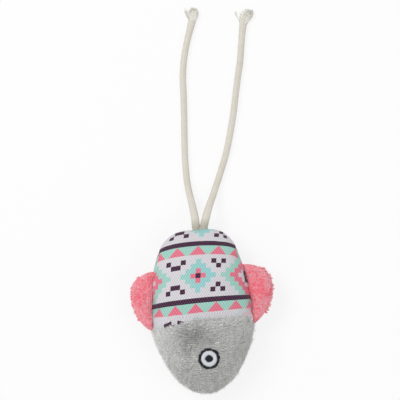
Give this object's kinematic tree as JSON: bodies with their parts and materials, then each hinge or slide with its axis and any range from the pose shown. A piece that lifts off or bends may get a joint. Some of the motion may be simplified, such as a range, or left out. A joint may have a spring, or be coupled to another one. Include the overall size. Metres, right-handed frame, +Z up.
{
  "type": "catnip fish cat toy",
  "caption": "Flat stuffed fish for a cat: printed body, grey plush head with an embroidered eye, padded terry side fins and a limp folded cotton cord as its tail.",
  "frame": {"origin": "on the table, under the middle of the box of the body and fins", "axes": "+Z up out of the front face while the toy lies on its back face, +Y from nose to tail, +X to the right seen from the front"},
  "size_m": [0.0868, 0.2317, 0.0318],
  "materials": {
    "printed_cotton": "twill with a coloured geometric print",
    "grey_plush": "short pile",
    "pink_terry": "looped pile",
    "cotton_cord": "braided",
    "black_thread": "satin stitch",
    "white_thread": "satin stitch",
    "seam_thread": "spun thread",
    "fibre_filling": "loose fibre",
    "sachet_cloth": "thin nonwoven"
  },
  "bodies": {
    "toy_body": {"body_front_panel": "printed_cotton", "body_back_panel": "printed_cotton", "head_front_panel": "grey_plush", "head_back_panel": "grey_plush", "front_filling": "fibre_filling", "back_filling": "fibre_filling", "catnip_sachet": "sachet_cloth", "edge_seam_thread": "seam_thread", "neck_seam_front_thread": "seam_thread", "neck_seam_back_thread": "seam_thread", "front_eye_ring": "black_thread", "front_eye_white": "white_thread", "front_eye_pupil": "black_thread", "back_eye_ring": "black_thread", "back_eye_white": "white_thread", "back_eye_pupil": "black_thread", "tail_cord_fold": "cotton_cord", "tail_bar_tack": "seam_thread"},
    "left_fin": {"left_fin_front": "pink_terry", "left_fin_back": "pink_terry", "left_fin_filling": "fibre_filling", "left_fin_seam_thread": "seam_thread"},
    "right_fin": {"right_fin_front": "pink_terry", "right_fin_back": "pink_terry", "right_fin_filling": "fibre_filling", "right_fin_seam_thread": "seam_thread"},
    "left_cord_base": {"left_cord_root": "cotton_cord"},
    "left_cord": {"left_tail_cord": "cotton_cord", "left_frayed_tip": "cotton_cord"},
    "right_cord_base": {"right_cord_root": "cotton_cord"},
    "right_cord": {"right_tail_cord": "cotton_cord", "right_frayed_tip": "cotton_cord"}
  },
  "joints": [
    {"name": "left_fin_flap", "type": "hinge", "parent": "toy_body", "child": "left_fin", "pos_m": [-0.03087, 0.00896, 0.01465], "axis": [0.1035, 0.9946, 0], "range_deg": [-30, 45], "stiffness_Nm_per_rad": 0.0023},
    {"name": "right_fin_flap", "type": "hinge", "parent": "toy_body", "child": "right_fin", "pos_m": [0.03087, 0.00896, 0.01465], "axis": [0.1035, -0.9946, 0], "range_deg": [-30, 45], "stiffness_Nm_per_rad": 0.0023},
    {"name": "left_cord_lift", "type": "hinge", "parent": "toy_body", "child": "left_cord_base", "pos_m": [-0.0007, 0.051, 0.01465], "axis": [1, 0, 0], "range_deg": [0, 80]},
    {"name": "left_cord_swing", "type": "hinge", "parent": "left_cord_base", "child": "left_cord", "pos_m": [-0.0009, 0.0555, 0.01389], "axis": [0, 0, 1], "range_deg": [-8, 60]},
    {"name": "right_cord_lift", "type": "hinge", "parent": "toy_body", "child": "right_cord_base", "pos_m": [0.0041, 0.051, 0.01465], "axis": [1, 0, 0], "range_deg": [0, 80]},
    {"name": "right_cord_swing", "type": "hinge", "parent": "right_cord_base", "child": "right_cord", "pos_m": [0.0054, 0.0552, 0.01389], "axis": [0, 0, 1], "range_deg": [-60, 2]}
  ]
}
